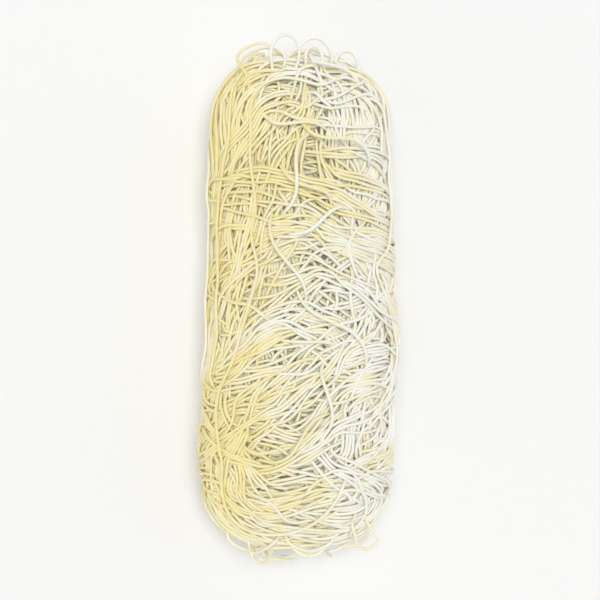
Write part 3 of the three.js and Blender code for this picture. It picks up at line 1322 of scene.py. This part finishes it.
class Board:
    """A node tree under construction, with short ways to place and link its nodes."""

    def __init__(self, tree: bpy.types.NodeTree) -> None:
        """Keeps the tree."""
        self.tree = tree

    def add_input(self, name: str, kind: str, value: object = None) -> str:
        """Adds an input to the tree.

        Args:
            name: The input's name.
            kind: The kind of its socket.
            value: Its value, where it has one.

        Returns:
            The input's identifier.
        """
        socket = self.tree.interface.new_socket(name, in_out="INPUT", socket_type="NodeSocket" + kind)
        if value is not None:
            socket.default_value = value
        return socket.identifier

    def add_output(self, name: str, kind: str) -> None:
        """Adds an output to the tree."""
        self.tree.interface.new_socket(name, in_out="OUTPUT", socket_type="NodeSocket" + kind)

    def feed(self, socket: bpy.types.NodeSocket, value: object) -> None:
        """Gives a socket its value, or links it to the socket that feeds it.

        Args:
            socket: The socket.
            value: The value, or the socket that feeds it.
        """
        if isinstance(value, bpy.types.NodeSocket):
            self.tree.links.new(value, socket)
        else:
            socket.default_value = value

    def node(self, kind: str, inputs: dict | None = None, **settings: object) -> bpy.types.Node:
        """Places a node.

        Args:
            kind: The node's type.
            inputs: For each input, by name or number, its value or the socket that feeds it.
            settings: The node's own settings.

        Returns:
            The node.
        """
        node = self.tree.nodes.new(kind)
        for name, value in settings.items():
            setattr(node, name, value)
        for key, value in (inputs or {}).items():
            self.feed(node.inputs[key], value)
        return node

    def math(self, operation: str, first: object, second: object = 0.0) -> bpy.types.NodeSocket:
        """Places a math node and gives its output."""
        return self.node("ShaderNodeMath", {0: first, 1: second}, operation=operation).outputs["Value"]

    def scaled(self, value: object, factor: float, offset: float) -> bpy.types.NodeSocket:
        """Places the nodes that multiply a value and then add an offset, and gives their output."""
        return self.math("ADD", self.math("MULTIPLY", value, factor), offset)

    def centred(self, value: object, factor: object) -> bpy.types.NodeSocket:
        """Places the nodes that take a half off a value and then multiply it, and gives their output."""
        return self.math("MULTIPLY", self.math("SUBTRACT", value, 0.5), factor)

    def mix(self, factor: object, first: object, second: object, blend: str = "MIX") -> bpy.types.NodeSocket:
        """Places a colour mix and gives its output."""
        inputs = {0: factor, 6: first, 7: second}
        return self.node("ShaderNodeMix", inputs, data_type="RGBA", blend_type=blend).outputs[2]

    def noise(self, place: object, scale: object, detail: float) -> bpy.types.NodeSocket:
        """Places a noise texture and gives its value."""
        inputs = {"Vector": place, "Scale": scale, "Detail": detail}
        return self.node("ShaderNodeTexNoise", inputs).outputs["Fac"]


@dataclass
class Tint:
    """How the noodles' colour changes over the block: yellower towards the -X flank, partly their own colour
    and partly painted shade, yellower in clouds, and yellower and lighter deep down, which is painted light.
    """

    pad: Pad
    core_share: float
    slope: float = 0.5
    flank_shade: float = 0.4
    flank_shade_start: float = 0.5
    flank_shade_blend: float = 0.2
    low_share: float = 0.3
    low_end: float = 0.3
    high_start: float = 0.7
    cloud: Waves = (0.18, 22, 60)
    seed: int = 31

    def __post_init__(self) -> None:
        """Draws the clouds."""
        self.clouds = Warp.draw(np.random.default_rng(self.seed), *self.cloud, room=3)

    def tone(self, points: Array, own: Array) -> Array:
        """Gives the tone of each point: 0 for pale and 1 for warm, with painted shade towards the -X flank.

        Args:
            points: The points in space.
            own: The tone of the noodle that each point is on.

        Returns:
            The tones.
        """
        # Painted shade: the tone grows warmer towards the -X flank, along a slope across the block and a
        # steeper rise near that flank. It is full over the upper part and less towards the bottom. It is
        # partly the noodles' own colour and partly painted shade.
        aside = -points[:, 0] / self.pad.half_width
        flank_shade = self.flank_shade * (0.5 + 0.5 * np.tanh((aside - self.flank_shade_start) / self.flank_shade_blend))
        height = points[:, 2] / self.pad.height
        full = np.interp(height, (self.low_end, self.high_start), (self.low_share, 1.0))
        return own + full * (self.slope * np.tanh(aside) + flank_shade) + self.clouds(points)[:, 0]

    def depth(self, points: Array) -> Array:
        """Gives how deep each point lies, from 0 on the skin to 1 at the core."""
        return np.clip((1 - self.pad.share(points)) / (1 - self.core_share), 0, 1)


class NoodleTree:
    """The Geometry Nodes tree that gives lines of points a round section of noodle."""

    def __init__(self, material: bpy.types.Material) -> None:
        """Builds the tree with its named inputs.

        Args:
            material: The finish of the noodles.
        """
        self.tree = bpy.data.node_groups.new("noodle_tubes", "GeometryNodeTree")
        board = Board(self.tree)
        self.inputs = {
            name: board.add_input(name, kind, value)
            for name, kind, value in (
                ("Geometry", "Geometry", None),
                ("Thickness", "Float", NOODLE_DIAMETER * MM),
                ("Sides", "Int", 6),
                ("Unevenness", "Float", 0.12),
                ("Grain", "Float", 420.0),
                ("Seed", "Float", 3.0),
            )
        }
        board.add_output("Geometry", "Geometry")
        self._link(board, material)

    @staticmethod
    def _link(board: Board, material: bpy.types.Material) -> None:
        """Places and links the tree's nodes.

        Args:
            board: The tree.
            material: The finish of the noodles.
        """
        given = board.node("NodeGroupInput").outputs
        curve = board.node("GeometryNodeMeshToCurve", {"Mesh": given["Geometry"]})
        girth = board.node("GeometryNodeInputNamedAttribute", {"Name": "girth"}, data_type="FLOAT")
        noise = board.node(
            "ShaderNodeTexNoise", {"Scale": given["Grain"], "W": given["Seed"]}, noise_dimensions="4D")
        uneven = board.centred(noise.outputs["Fac"], given["Unevenness"])
        radius = board.math("MULTIPLY", given["Thickness"], 0.5)
        radius = board.math("MULTIPLY", radius, board.math("ADD", uneven, 1.0))
        radius = board.math("MULTIPLY", radius, girth.outputs["Attribute"])
        ring = board.node("GeometryNodeCurvePrimitiveCircle", {"Radius": 1.0, "Resolution": given["Sides"]})
        tube = board.node("GeometryNodeCurveToMesh", {
            "Curve": curve.outputs["Curve"],
            "Profile Curve": ring.outputs["Curve"],
            "Scale": radius,
            "Fill Caps": True,
        })
        smooth = board.node("GeometryNodeSetShadeSmooth", {"Geometry": tube.outputs["Mesh"]})
        real = board.node("GeometryNodeRealizeInstances", {"Geometry": smooth.outputs["Geometry"]})
        dress = board.node(
            "GeometryNodeSetMaterial", {"Geometry": real.outputs["Geometry"], "Material": material})
        board.node("NodeGroupOutput", {"Geometry": dress.outputs["Geometry"]})

    def tubes(self, role: Role, strands: Sequence[Strand], tint: Tint) -> bpy.types.Object:
        """Makes one mesh of all the noodles of a role.

        Args:
            role: The role, with the piece's name and mesh settings.
            strands: The noodles.
            tint: What gives the tone and the depth of each of their points.

        Returns:
            The piece, a plain mesh.
        """
        kept = [self.kept(len(strand.path), role.every) for strand in strands]
        counts = [len(indices) for indices in kept]
        starts = np.cumsum(counts) - counts
        edges = np.concatenate([
            np.stack([np.arange(start, start + count - 1), np.arange(start + 1, start + count)], -1)
            for start, count in zip(starts, counts)
        ])
        points = np.concatenate([strand.path[indices] for strand, indices in zip(strands, kept)])
        mesh = bpy.data.meshes.new(role.piece + "_lines")
        mesh.from_pydata((points * MM).tolist(), edges.tolist(), [])
        for name, values in (
            ("tone", tint.tone(points, np.repeat([strand.tone for strand in strands], counts))),
            ("girth", np.repeat([strand.girth for strand in strands], counts)),
            ("depth", tint.depth(points)),
        ):
            attribute = mesh.attributes.new(name, "FLOAT", "POINT")
            attribute.data.foreach_set("value", values.astype(np.float32))
        lines = placed(role.piece + "_lines", mesh)
        modifier = lines.modifiers.new("tubes", "NODES")
        modifier.node_group = self.tree
        modifier[self.inputs["Sides"]] = role.sides
        graph = bpy.context.evaluated_depsgraph_get()
        made = bpy.data.meshes.new_from_object(
            lines.evaluated_get(graph), preserve_all_data_layers=True, depsgraph=graph)
        made.name = role.piece
        lines.modifiers.clear()
        bpy.data.objects.remove(lines)
        bpy.data.meshes.remove(mesh)
        return placed(role.piece, made)

    @staticmethod
    def kept(count: int, every: int) -> Array:
        """Gives the numbers of the points that are kept: every so many, and the last one."""
        return np.unique(np.append(np.arange(0, count, every), count - 1))


@dataclass
class Core:
    """The closed core inside the noodles, with the lay of the deepest noodles as relief.

    Its surface goes round the pad in stations, and from the crown to the underside in rows. Each wander
    of its grooves has a size, how many turns it makes round the pad, and how it changes over the rows.
    """

    pad: Pad
    name: str = "packed_core"
    share: float = 0.715
    side_stations: int = 60
    end_stations: int = 34
    grooves: int = 40
    rows_per_groove: int = 5
    wanders: tuple[tuple[float, int, int], ...] = ((1.6, 2, 2), (1.1, 3, -3), (0.6, 7, 5), (0.3, 13, 9))
    relief: float = 0.55
    fade: float = 14.0
    merge: float = 0.002
    seed: int = 23

    def build(self, material: bpy.types.Material) -> bpy.types.Object:
        """Makes the core.

        Args:
            material: The core's finish.

        Returns:
            The piece.
        """
        pad = self.pad
        travel, turn = self.grid()
        spine, angle = pad.track(travel)
        out = bent(np.sin(turn), 2 / pad.section_squareness)
        out, up, _ = pad.section(turn, pad.crown_rise(spine, angle, out))
        lift = self.relief * self.ridges(travel, turn) * np.minimum(1, self.fade * out)
        reach = self.share * out * pad.plan_radius(spine, angle) + lift * np.sin(turn)
        height = pad.belt + self.share * up + lift * np.cos(turn)
        points = np.stack([reach * np.cos(angle), spine + reach * np.sin(angle), height], -1)
        return self.closed(points, material)

    def grid(self) -> tuple[Array, Array]:
        """Lays out the grid of the core's surface.

        Returns:
            Each grid point's share of the way round the pad, and its turn from the crown.
        """
        on_side = self.pad.side_share
        side = on_side * (np.arange(self.side_stations) / self.side_stations - 0.5)
        end = on_side / 2 + (0.5 - on_side) * np.arange(self.end_stations) / self.end_stations
        half = np.concatenate([side, end])
        rows = np.linspace(0, math.pi, self.grooves * self.rows_per_groove + 1)
        travel, turn = np.meshgrid(np.concatenate([half, half + 0.5]), rows, indexing="ij")
        return travel, turn

    def ridges(self, travel: Array, turn: Array) -> Array:
        """Gives the rounded backs of the deepest noodles.

        Args:
            travel: Each grid point's share of the way round the pad.
            turn: Its turn from the crown.

        Returns:
            The relief, from -1 in a groove to 0 on a crest.
        """
        rng = np.random.default_rng(self.seed)
        around = FULL_TURN * travel
        wander = sum(
            size * np.sin(turns * around + change * turn + rng.uniform(0, FULL_TURN))
            for size, turns, change in self.wanders
        )
        return np.abs(np.sin(self.grooves * turn + wander)) - 1

    def closed(self, points: Array, material: bpy.types.Material) -> bpy.types.Object:
        """Joins the grid's points into one closed mesh.

        Args:
            points: The grid of points, in millimetres: stations by rows by 3.
            material: The finish.

        Returns:
            The piece.
        """
        stations, rows, _ = points.shape
        number = np.arange(stations * rows).reshape(stations, rows)
        following = np.roll(number, -1, axis=0)
        quads = np.stack([number[:, :-1], number[:, 1:], following[:, 1:], following[:, :-1]], -1)
        mesh = bpy.data.meshes.new(self.name)
        mesh.from_pydata((points.reshape(-1, 3) * MM).tolist(), [], quads.reshape(-1, 4).tolist())
        work = bmesh.new()
        work.from_mesh(mesh)
        bmesh.ops.remove_doubles(work, verts=work.verts, dist=self.merge * MM)
        bmesh.ops.recalc_face_normals(work, faces=work.faces)
        for polygon in work.faces:
            polygon.smooth = True
        work.to_mesh(mesh)
        work.free()
        mesh.materials.append(material)
        return placed(self.name, mesh)


@dataclass
class StarchSurface:
    """The shader group of dried rice starch: its colour, with painted light deep down, its roughness and its
    fine relief.
    """

    cloud_detail: float = 3.0
    grain_detail: float = 2.0
    cloud_share: float = 1.1
    depth_power: float = 0.8
    shade_swing: float = 0.12
    least_shade: float = 0.94
    rough_swing: float = 0.22
    least_rough: float = 0.32
    cloud_relief: float = 0.6

    def __post_init__(self) -> None:
        """Builds the group with its named inputs and outputs."""
        self.tree = bpy.data.node_groups.new("starch_surface", "ShaderNodeTree")
        board = Board(self.tree)
        for name, kind, value in (
            ("Tone", "Float", 0.5),
            ("Depth", "Float", 0.0),
            ("Pale", "Color", (1, 1, 1, 1)),
            ("Warm", "Color", (1, 1, 1, 1)),
            ("Deep Painted Light", "Color", (1, 1, 1, 1)),
            ("Cloud Scale", "Float", 200.0),
            ("Grain Scale", "Float", 1800.0),
        ):
            board.add_input(name, kind, value)
        for name, kind in (("Color", "Color"), ("Roughness", "Float"), ("Height", "Float")):
            board.add_output(name, kind)
        self._link(board)

    def _link(self, board: Board) -> None:
        """Places and links the group's nodes.

        Args:
            board: The group.
        """
        given = board.node("NodeGroupInput").outputs
        place = board.node("ShaderNodeTexCoord").outputs["Object"]
        cloud = board.noise(place, given["Cloud Scale"], self.cloud_detail)
        grain = board.noise(place, given["Grain Scale"], self.grain_detail)
        tone = board.math("ADD", given["Tone"], board.centred(cloud, self.cloud_share))
        tone = board.node("ShaderNodeClamp", {"Value": tone}).outputs["Result"]
        colour = board.mix(tone, given["Pale"], given["Warm"])
        # Painted light: towards the core the colour goes over to the deep colour, yellower and lighter, in
        # place of the light that reaches there through the noodles above.
        colour = board.mix(board.math("POWER", given["Depth"], self.depth_power), colour, given["Deep Painted Light"])
        shade = board.scaled(grain, self.shade_swing, self.least_shade)
        shade = board.node("ShaderNodeCombineColor", {0: shade, 1: shade, 2: shade}).outputs[0]
        board.node("NodeGroupOutput", {
            "Color": board.mix(1.0, colour, shade, "MULTIPLY"),
            "Roughness": board.scaled(grain, self.rough_swing, self.least_rough),
            "Height": board.math("ADD", grain, board.math("MULTIPLY", cloud, self.cloud_relief)),
        })


@dataclass(frozen=True)
class StarchFinish:
    """Dry rice noodle: ivory on the skin, with a dull gloss, and yellower and lighter inside, which is
    painted light.
    """

    name: str
    pale: Colour = (0.955, 0.945, 0.88)
    warm: Colour = (0.925, 0.825, 0.43)
    # Painted light: the colour of the noodles deep in the block, yellower and lighter than on the skin.
    deep: Colour = (0.99, 0.95, 0.72)
    gloss: float = 0.3
    bump: float = 0.35
    bump_height: float = 0.04
    read_depth: bool = True

    def build(self, surface: StarchSurface) -> bpy.types.Material:
        """Makes the material.

        Args:
            surface: The shader group of dried starch.

        Returns:
            The material.
        """
        material, shader = new_material(self.name)
        board = Board(material.node_tree)
        group = board.node("ShaderNodeGroup", node_tree=surface.tree)
        for name, colour in (("Pale", self.pale), ("Warm", self.warm), ("Deep Painted Light", self.deep)):
            board.feed(group.inputs[name], (*colour, 1))
        if self.read_depth:
            for name, attribute in (("Tone", "tone"), ("Depth", "depth")):
                source = board.node("ShaderNodeAttribute", attribute_name=attribute)
                board.feed(group.inputs[name], source.outputs["Fac"])
        bump = board.node("ShaderNodeBump", {
            "Height": group.outputs["Height"],
            "Strength": self.bump,
            "Distance": self.bump_height * MM,
        })
        for name, value in (
            ("Base Color", group.outputs["Color"]),
            ("Roughness", group.outputs["Roughness"]),
            ("Normal", bump.outputs["Normal"]),
            ("Specular IOR Level", self.gloss),
        ):
            board.feed(shader.inputs[name], value)
        return material


NOODLE_STARCH = StarchFinish("noodle_starch")
# Painted light: the core is yellower than the noodles' skin, in place of the light that reaches it through
# the noodles above.
CORE_STARCH_WITH_PAINTED_LIGHT = StarchFinish(
    "core_starch_with_painted_light", pale=(0.97, 0.92, 0.68), warm=(0.95, 0.88, 0.60), read_depth=False)


@dataclass(frozen=True)
class Lamp:
    """A far, wide and soft light: where it comes from, its strength, and its width in degrees."""

    name: str
    place: tuple[float, float, float]
    strength: float
    width: float


@dataclass
class Studio:
    """A pale floor, soft light and the camera that looks down on the block."""

    pad: Pad
    lens: float = 100.0
    clip: Range = (0.01, 10)
    fill: float = 0.92
    swing: float = 9.5
    dip: float = 2.0
    floor_half: float = 20.0
    floor_colour: Colour = (0.93, 0.93, 0.925)
    floor_roughness: float = 0.9
    sky_strength: float = 0.36
    glow: float = 0.56
    glow_fall: float = 4.0
    lamps: tuple[Lamp, ...] = (
        Lamp("key", (-0.1, 0.06, 1.0), 1.7, 28.0),
        Lamp("left_fill", (-0.7, -0.4, 0.4), 0.3, 80.0),
        Lamp("right_fill", (0.75, 0.35, 0.4), 0.3, 80.0),
    )

    def build(self) -> None:
        """Makes the floor, the lights and the camera."""
        self.floor()
        self.lights()
        self.camera()

    def floor(self) -> None:
        """Makes the floor."""
        half = self.floor_half
        corners = [(-half, -half, 0), (half, -half, 0), (half, half, 0), (-half, half, 0)]
        mesh = bpy.data.meshes.new("floor")
        mesh.from_pydata(corners, [], [(0, 1, 2, 3)])
        floor = placed("floor", mesh)
        material, shader = new_material("floor")
        shader.inputs["Base Color"].default_value = (*self.floor_colour, 1)
        shader.inputs["Roughness"].default_value = self.floor_roughness
        mesh.materials.append(material)

    def lights(self) -> None:
        """Makes the sky, which is brighter towards the horizon, and the soft lamps."""
        world = bpy.data.worlds.new("sky")
        world.use_nodes = True
        board = Board(world.node_tree)
        sky = world.node_tree.nodes["Background"]
        sky.inputs["Color"].default_value = (1, 1, 1, 1)
        heading = board.node("ShaderNodeTexCoord").outputs["Generated"]
        rise = board.node("ShaderNodeSeparateXYZ", {"Vector": heading}).outputs["Z"]
        glow = board.math("POWER", board.math("SUBTRACT", 1.0, rise), self.glow_fall)
        board.feed(sky.inputs["Strength"], board.scaled(glow, self.glow, self.sky_strength))
        bpy.context.scene.world = world
        for lamp in self.lamps:
            light = bpy.data.lights.new(lamp.name, "SUN")
            light.energy = lamp.strength
            light.angle = math.radians(lamp.width)
            holder = placed(lamp.name, light)
            holder.location = lamp.place
            holder.rotation_euler = (-Vector(lamp.place)).to_track_quat("-Z", "Y").to_euler()

    def camera(self) -> None:
        """Makes the camera, which looks down on the block with its long side upright in the picture."""
        data = bpy.data.cameras.new("camera")
        data.lens = self.lens
        data.clip_start, data.clip_end = self.clip
        camera = placed("camera", data)
        middle = self.pad.height / 2 * MM
        half_view = data.sensor_width / 2 / self.lens
        distance = self.pad.length * MM / 2 / self.fill / half_view + middle
        swing, dip = math.radians(self.swing), math.radians(self.dip)
        back = Vector((-math.sin(swing), -math.sin(dip), math.cos(swing) * math.cos(dip))).normalized()
        right = Vector((0, 1, 0)).cross(back).normalized()
        camera.location = Vector((0, 0, middle)) + back * distance
        camera.rotation_euler = Matrix((right, back.cross(right), back)).transposed().to_euler()
        bpy.context.scene.camera = camera
        bpy.context.scene.view_settings.view_transform = "Standard"


def hand_over(piece: bpy.types.Object) -> None:
    """Says that a piece moves with the block and stands for its solid.

    Args:
        piece: The piece.
    """
    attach(piece, BODY)
    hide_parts(NODE)
    LOG.info("%s: %d triangles", piece.name, sum(len(p.vertices) - 2 for p in piece.data.polygons))


def main() -> None:
    """Builds the block's pieces and the studio round them."""
    logging.basicConfig(level=logging.INFO, format="%(relativeCreated)d %(name)s: %(message)s")
    surface = StarchSurface()
    pad = Pad()
    core = Core(pad)
    hand_over(core.build(CORE_STARCH_WITH_PAINTED_LIGHT.build(surface)))
    strands = Settling(pad, Lay(pad).run()).run()
    tree = NoodleTree(NOODLE_STARCH.build(surface))
    tint = Tint(pad, core.share)
    for role in Role:
        hand_over(tree.tubes(role, [strand for strand in strands if strand.role is role], tint))
    Studio(pad).build()


if __name__ == "__main__":
    main()
